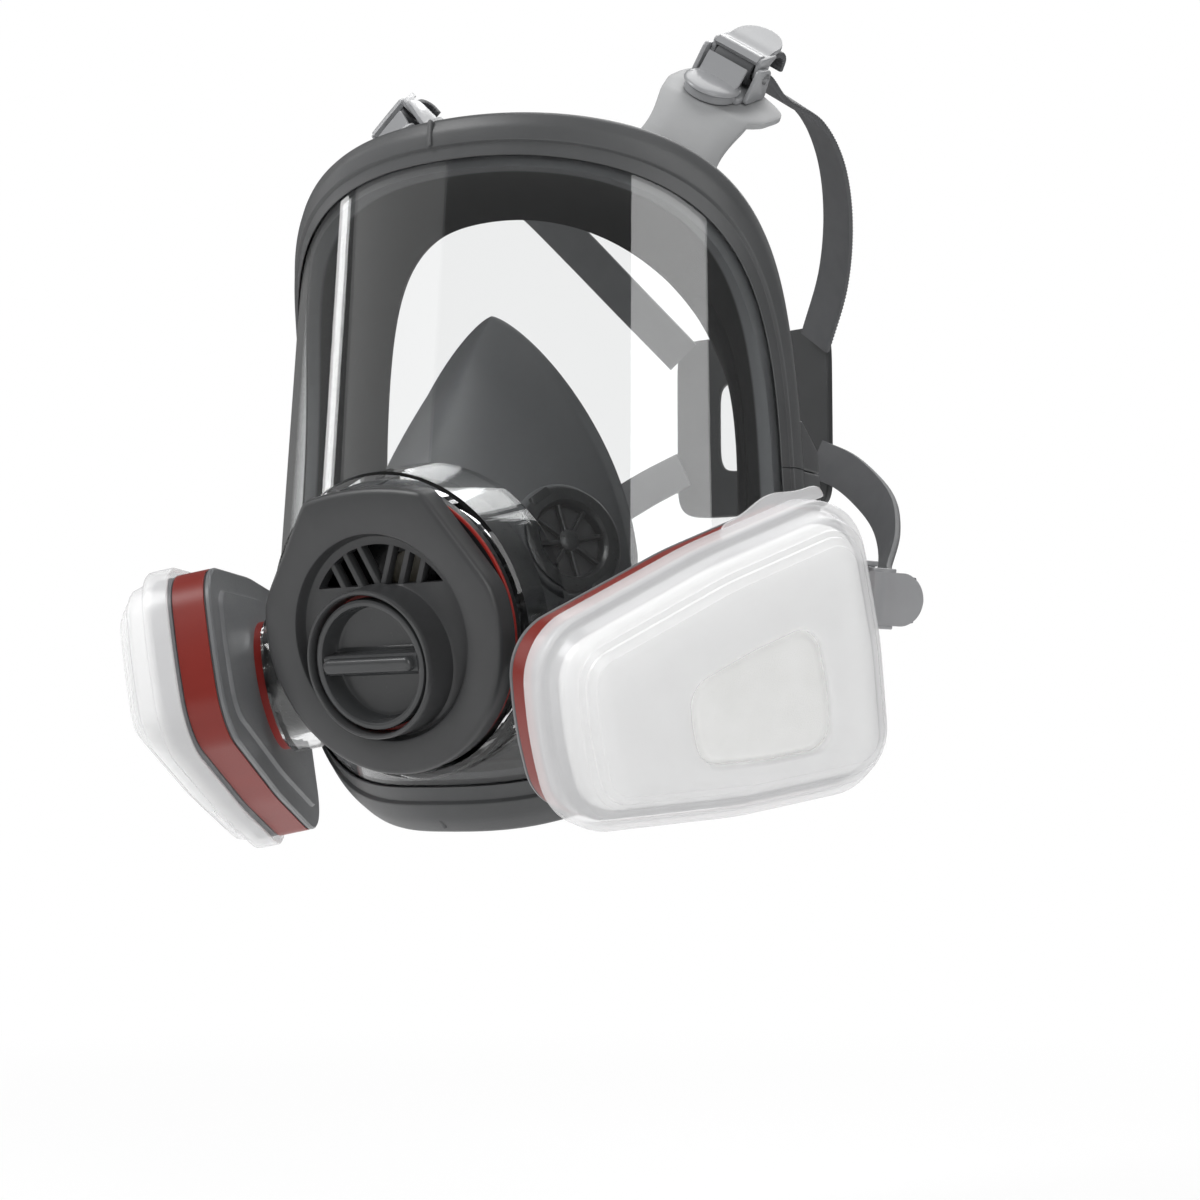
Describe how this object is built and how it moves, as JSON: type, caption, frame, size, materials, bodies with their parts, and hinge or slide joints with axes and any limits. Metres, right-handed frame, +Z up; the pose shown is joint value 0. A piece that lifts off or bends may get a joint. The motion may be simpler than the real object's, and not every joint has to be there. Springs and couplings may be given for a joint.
{
  "type": "full face respirator",
  "caption": "Full face respirator: wrap-round clear visor in a frame, face seal, nose cup, front valve cover with a twist cap, twin side cartridges and a head harness.",
  "frame": {"origin": "the middle of the face opening of the face seal", "axes": "+Z up the wearer's face, -Y straight ahead out of the visor, +X to the wearer's left"},
  "size_m": [0.2494, 0.256, 0.2578],
  "materials": {
    "visor_polycarbonate": "clear scratch-resistant moulding",
    "frame_nylon": "fine satin texture",
    "cover_nylon": "fine satin texture",
    "seal_silicone": "matt moulded silicone",
    "cup_silicone": "matt moulded silicone",
    "valve_rubber": "thin moulded disc",
    "gasket_rubber": "smooth moulded red rubber",
    "valve_plastic": "satin moulding",
    "diaphragm_film": "thin satin film",
    "cartridge_plastic": "satin moulding",
    "label_paper": "coated paper band, blank",
    "sorbent": "packed granules",
    "prefilter_felt": "white needled felt",
    "retainer_plastic": "milky clear moulding",
    "buckle_plastic": "satin moulding",
    "screw_steel": "plain zinc-plated",
    "strap_rubber": "ribbed elastic strap"
  },
  "bodies": {
    "mask": {"visor": "visor_polycarbonate", "upper_frame": "frame_nylon", "lower_frame": "frame_nylon", "frame_screws": "screw_steel", "frame_nuts": "screw_steel", "front_cover": "cover_nylon", "cover_gasket": "gasket_rubber", "valve_housing": "valve_plastic", "exhalation_valve_seat": "valve_plastic", "speech_diaphragm": "diaphragm_film", "diaphragm_clamp_ring": "valve_plastic", "nose_cup": "cup_silicone", "face_seal": "seal_silicone", "rear_pad": "strap_rubber", "nose_cup_valve_seat_left": "valve_plastic", "nose_cup_valve_seat_right": "valve_plastic", "bayonet_port_left": "valve_plastic", "bayonet_port_right": "valve_plastic", "bayonet_gasket_left": "gasket_rubber", "bayonet_gasket_right": "gasket_rubber", "brow_buckle_base_left": "buckle_plastic", "brow_buckle_base_right": "buckle_plastic", "brow_buckle_pin_left": "screw_steel", "brow_buckle_pin_right": "screw_steel", "brow_strap_left": "strap_rubber", "brow_strap_right": "strap_rubber", "cheek_buckle_base_left": "buckle_plastic", "cheek_buckle_base_right": "buckle_plastic", "cheek_buckle_pin_left": "screw_steel", "cheek_buckle_pin_right": "screw_steel", "cheek_strap_left": "strap_rubber", "cheek_strap_right": "strap_rubber"},
    "port_cap": {"port_cap": "cover_nylon", "port_cap_gasket": "gasket_rubber"},
    "exhalation_flap": {"exhalation_valve_flap": "valve_rubber"},
    "cartridge_left": {"cartridge_case_left": "cartridge_plastic", "cartridge_label_band_left": "label_paper", "cartridge_grille_left": "cartridge_plastic", "sorbent_bed_left": "sorbent"},
    "retainer_left": {"prefilter_retainer_left": "retainer_plastic", "prefilter_pad_left": "prefilter_felt"},
    "cheek_valve_left": {"nose_cup_valve_flap_left": "valve_rubber"},
    "inhalation_flap_left": {"inhalation_valve_flap_left": "valve_rubber"},
    "brow_lever_left": {"brow_buckle_lever_left": "buckle_plastic"},
    "cheek_lever_left": {"cheek_buckle_lever_left": "buckle_plastic"},
    "cartridge_right": {"cartridge_case_right": "cartridge_plastic", "cartridge_label_band_right": "label_paper", "cartridge_grille_right": "cartridge_plastic", "sorbent_bed_right": "sorbent"},
    "retainer_right": {"prefilter_retainer_right": "retainer_plastic", "prefilter_pad_right": "prefilter_felt"},
    "cheek_valve_right": {"nose_cup_valve_flap_right": "valve_rubber"},
    "inhalation_flap_right": {"inhalation_valve_flap_right": "valve_rubber"},
    "brow_lever_right": {"brow_buckle_lever_right": "buckle_plastic"},
    "cheek_lever_right": {"cheek_buckle_lever_right": "buckle_plastic"}
  },
  "joints": [
    {"name": "port_cap_twist", "type": "hinge", "parent": "mask", "child": "port_cap", "pos_m": [0, -0.07302, -0.05775], "axis": [0, -0.969, -0.247], "range_deg": [0, 60]},
    {"name": "exhalation_flap_lift", "type": "slide", "parent": "mask", "child": "exhalation_flap", "axis": [0, -0.969, -0.247], "range_m": [0, 0.0025], "stiffness_N_per_m": 20},
    {"name": "cartridge_twist_left", "type": "hinge", "parent": "mask", "child": "cartridge_left", "pos_m": [0.094, -0.0406, -0.065], "axis": [0.8808, -0.4296, -0.1994], "range_deg": [0, 8]},
    {"name": "retainer_pull_left", "type": "slide", "parent": "cartridge_left", "child": "retainer_left", "axis": [0.8808, -0.4296, -0.1994], "range_m": [0, 0.02]},
    {"name": "cheek_valve_lift_left", "type": "slide", "parent": "mask", "child": "cheek_valve_left", "axis": [-0.8637, 0.4592, -0.2079], "range_m": [0, 0.002], "stiffness_N_per_m": 20},
    {"name": "inhalation_flap_lift_left", "type": "slide", "parent": "mask", "child": "inhalation_flap_left", "axis": [-0.8808, 0.4296, 0.1994], "range_m": [0, 0.002], "stiffness_N_per_m": 20},
    {"name": "brow_lever_lift_left", "type": "hinge", "parent": "mask", "child": "brow_lever_left", "pos_m": [0.06492, 0.02146, 0.13204], "axis": [0.819, 0.1377, -0.5571], "range_deg": [0, 28]},
    {"name": "cheek_lever_lift_left", "type": "hinge", "parent": "mask", "child": "cheek_lever_left", "pos_m": [0.10072, 0.03475, -0.03585], "axis": [-0.1207, 0.0581, -0.991], "range_deg": [0, 28]},
    {"name": "cartridge_twist_right", "type": "hinge", "parent": "mask", "child": "cartridge_right", "pos_m": [-0.094, -0.0406, -0.065], "axis": [-0.8808, -0.4296, -0.1994], "range_deg": [-8, 0]},
    {"name": "retainer_pull_right", "type": "slide", "parent": "cartridge_right", "child": "retainer_right", "axis": [-0.8808, -0.4296, -0.1994], "range_m": [0, 0.02]},
    {"name": "cheek_valve_lift_right", "type": "slide", "parent": "mask", "child": "cheek_valve_right", "axis": [0.8637, 0.4592, -0.2079], "range_m": [0, 0.002], "stiffness_N_per_m": 20},
    {"name": "inhalation_flap_lift_right", "type": "slide", "parent": "mask", "child": "inhalation_flap_right", "axis": [0.8808, 0.4296, 0.1994], "range_m": [0, 0.002], "stiffness_N_per_m": 20},
    {"name": "brow_lever_lift_right", "type": "hinge", "parent": "mask", "child": "brow_lever_right", "pos_m": [-0.06492, 0.02146, 0.13204], "axis": [0.819, -0.1377, 0.5571], "range_deg": [0, 28]},
    {"name": "cheek_lever_lift_right", "type": "hinge", "parent": "mask", "child": "cheek_lever_right", "pos_m": [-0.10072, 0.03475, -0.03585], "axis": [-0.1207, -0.0581, 0.991], "range_deg": [0, 28]}
  ]
}
